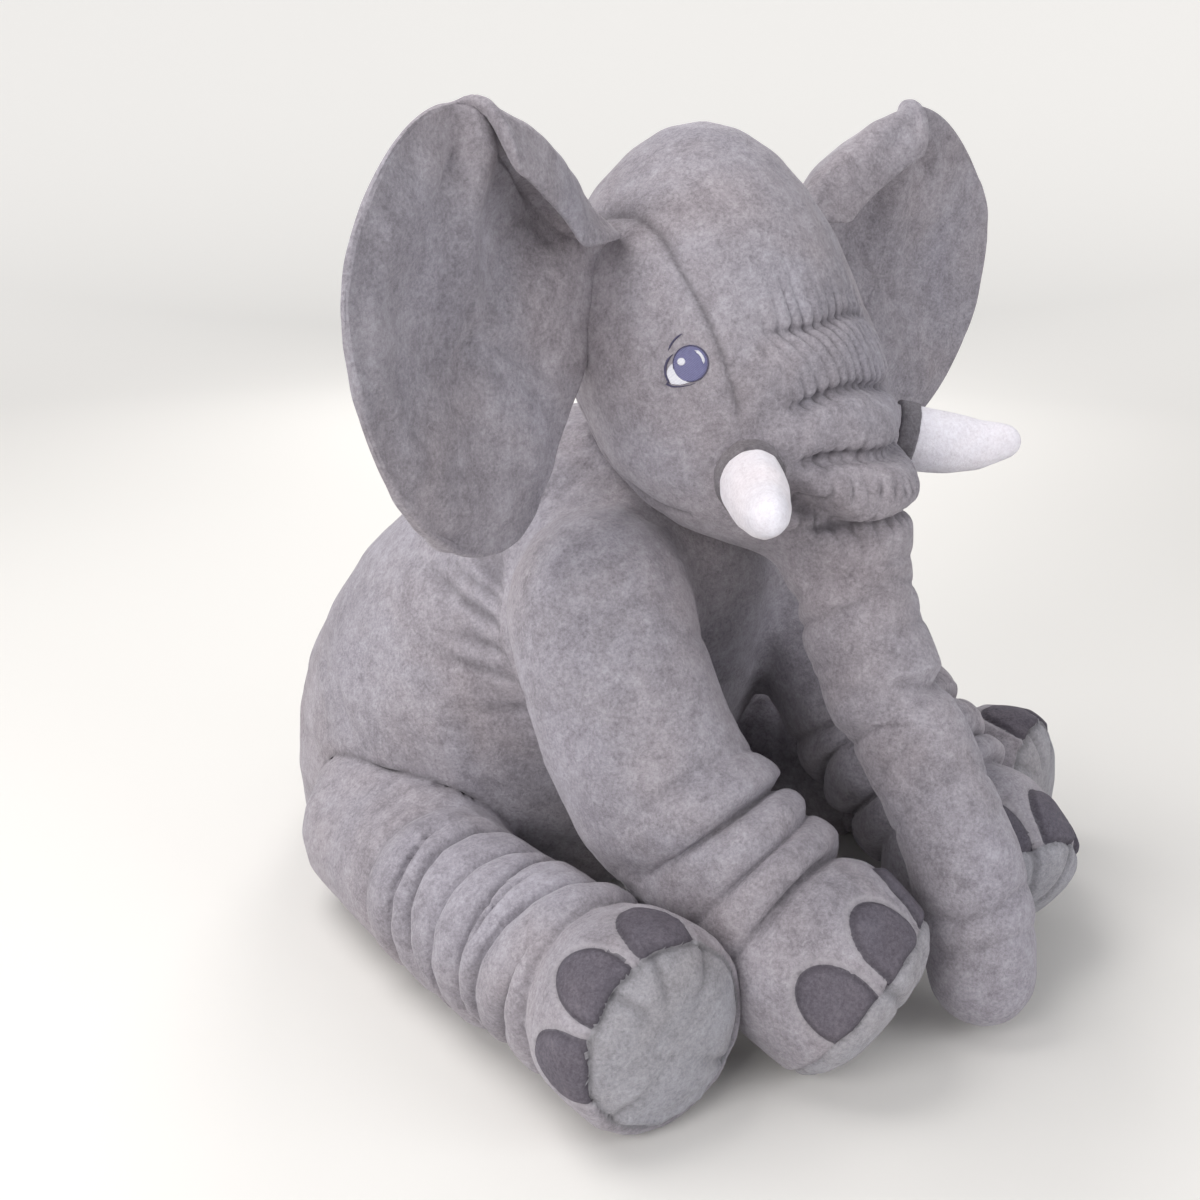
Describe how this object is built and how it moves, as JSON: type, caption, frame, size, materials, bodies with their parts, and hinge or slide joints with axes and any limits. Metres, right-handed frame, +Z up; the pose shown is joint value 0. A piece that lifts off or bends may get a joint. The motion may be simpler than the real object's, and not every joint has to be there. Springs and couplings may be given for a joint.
{
  "type": "stuffed elephant",
  "caption": "Seated plush elephant with large ears, a hanging trunk, tusks and stuffed legs that bend where they are sewn on.",
  "frame": {"origin": "middle of the flat seat under the torso, on the floor", "axes": "+Z up, -Y the way the elephant faces, -X its right side"},
  "size_m": [0.6868, 0.7177, 0.6012],
  "materials": {
    "grey_plush": "short soft pile",
    "sole_plush": "short soft pile, a little lighter",
    "dark_plush": "short soft pile, dark violet grey",
    "white_plush": "short soft pile, white",
    "eye_thread": "satin-stitch embroidery",
    "fibre_filling": "loose polyester fibre",
    "label_cloth": "smooth woven ribbon, blank"
  },
  "bodies": {
    "torso": {"torso_cover": "grey_plush", "torso_stuffing": "fibre_filling", "care_label": "label_cloth"},
    "head": {"head_side_R": "grey_plush", "head_centre_panel": "grey_plush", "head_side_L": "grey_plush", "head_stuffing": "fibre_filling", "eye_R": "eye_thread", "eye_L": "eye_thread"},
    "trunk_upper": {"trunk_upper_cover": "grey_plush", "trunk_upper_stuffing": "fibre_filling"},
    "trunk_lower": {"trunk_lower_cover": "grey_plush", "trunk_lower_stuffing": "fibre_filling"},
    "ear_R": {"ear_front_R": "grey_plush", "ear_back_R": "grey_plush", "ear_wadding_R": "fibre_filling"},
    "tusk_R": {"tusk_cover_R": "white_plush", "tusk_stuffing_R": "fibre_filling", "tusk_cuff_R": "dark_plush"},
    "front_leg_R": {"front_leg_cover_R": "grey_plush", "front_leg_stuffing_R": "fibre_filling", "front_sole_R": "sole_plush", "front_nail_outer_R": "dark_plush", "front_nail_middle_R": "dark_plush", "front_nail_inner_R": "dark_plush"},
    "hind_leg_R": {"hind_leg_cover_R": "grey_plush", "hind_leg_stuffing_R": "fibre_filling", "hind_sole_R": "sole_plush", "hind_nail_outer_R": "dark_plush", "hind_nail_middle_R": "dark_plush", "hind_nail_inner_R": "dark_plush"},
    "ear_L": {"ear_front_L": "grey_plush", "ear_back_L": "grey_plush", "ear_wadding_L": "fibre_filling"},
    "tusk_L": {"tusk_cover_L": "white_plush", "tusk_stuffing_L": "fibre_filling", "tusk_cuff_L": "dark_plush"},
    "front_leg_L": {"front_leg_cover_L": "grey_plush", "front_leg_stuffing_L": "fibre_filling", "front_sole_L": "sole_plush", "front_nail_outer_L": "dark_plush", "front_nail_middle_L": "dark_plush", "front_nail_inner_L": "dark_plush"},
    "hind_leg_L": {"hind_leg_cover_L": "grey_plush", "hind_leg_stuffing_L": "fibre_filling", "hind_sole_L": "sole_plush", "hind_nail_outer_L": "dark_plush", "hind_nail_middle_L": "dark_plush", "hind_nail_inner_L": "dark_plush"},
    "tail": {"tail": "grey_plush", "tail_tuft": "dark_plush"}
  },
  "joints": [
    {"name": "head_nod", "type": "hinge", "parent": "torso", "child": "head", "pos_m": [0, -0.195, 0.348], "axis": [-1, 0, 0], "range_deg": [0, 12], "stiffness_Nm_per_rad": 2.5},
    {"name": "trunk_swing", "type": "hinge", "parent": "head", "child": "trunk_upper", "pos_m": [0, -0.352, 0.345], "axis": [-1, 0, 0], "range_deg": [0, 45], "stiffness_Nm_per_rad": 0.5},
    {"name": "trunk_curl", "type": "hinge", "parent": "trunk_upper", "child": "trunk_lower", "pos_m": [0, -0.396, 0.21], "axis": [-1, 0, 0], "range_deg": [0, 45], "stiffness_Nm_per_rad": 0.3},
    {"name": "ear_flap_R", "type": "hinge", "parent": "head", "child": "ear_R", "pos_m": [-0.1145, -0.21, 0.484], "axis": [-0.1689, 0, -0.9856], "range_deg": [-15, 35], "stiffness_Nm_per_rad": 0.15},
    {"name": "tusk_flex_R", "type": "hinge", "parent": "head", "child": "tusk_R", "pos_m": [-0.085, -0.327, 0.38], "axis": [-0.6801, 0.7331, 0], "range_deg": [-4, 8], "stiffness_Nm_per_rad": 0.3},
    {"name": "front_leg_lift_R", "type": "hinge", "parent": "torso", "child": "front_leg_R", "pos_m": [-0.113, -0.219, 0.29], "axis": [-0.8564, 0.5163, 0], "range_deg": [0, 30], "stiffness_Nm_per_rad": 1},
    {"name": "hind_leg_splay_R", "type": "hinge", "parent": "torso", "child": "hind_leg_R", "pos_m": [-0.151, -0.024, 0.062], "axis": [0, 0, -1], "range_deg": [0, 25], "stiffness_Nm_per_rad": 2},
    {"name": "ear_flap_L", "type": "hinge", "parent": "head", "child": "ear_L", "pos_m": [0.1145, -0.21, 0.484], "axis": [-0.1689, 0, 0.9856], "range_deg": [-15, 35], "stiffness_Nm_per_rad": 0.15},
    {"name": "tusk_flex_L", "type": "hinge", "parent": "head", "child": "tusk_L", "pos_m": [0.085, -0.327, 0.38], "axis": [-0.6801, -0.7331, 0], "range_deg": [-4, 8], "stiffness_Nm_per_rad": 0.3},
    {"name": "front_leg_lift_L", "type": "hinge", "parent": "torso", "child": "front_leg_L", "pos_m": [0.113, -0.219, 0.29], "axis": [-0.8564, -0.5163, 0], "range_deg": [0, 30], "stiffness_Nm_per_rad": 1},
    {"name": "hind_leg_splay_L", "type": "hinge", "parent": "torso", "child": "hind_leg_L", "pos_m": [0.151, -0.024, 0.062], "axis": [0, 0, 1], "range_deg": [0, 25], "stiffness_Nm_per_rad": 2},
    {"name": "tail_lift", "type": "hinge", "parent": "torso", "child": "tail", "pos_m": [0, 0.157, 0.11], "axis": [1, 0, 0], "range_deg": [0, 40], "stiffness_Nm_per_rad": 0.02}
  ]
}
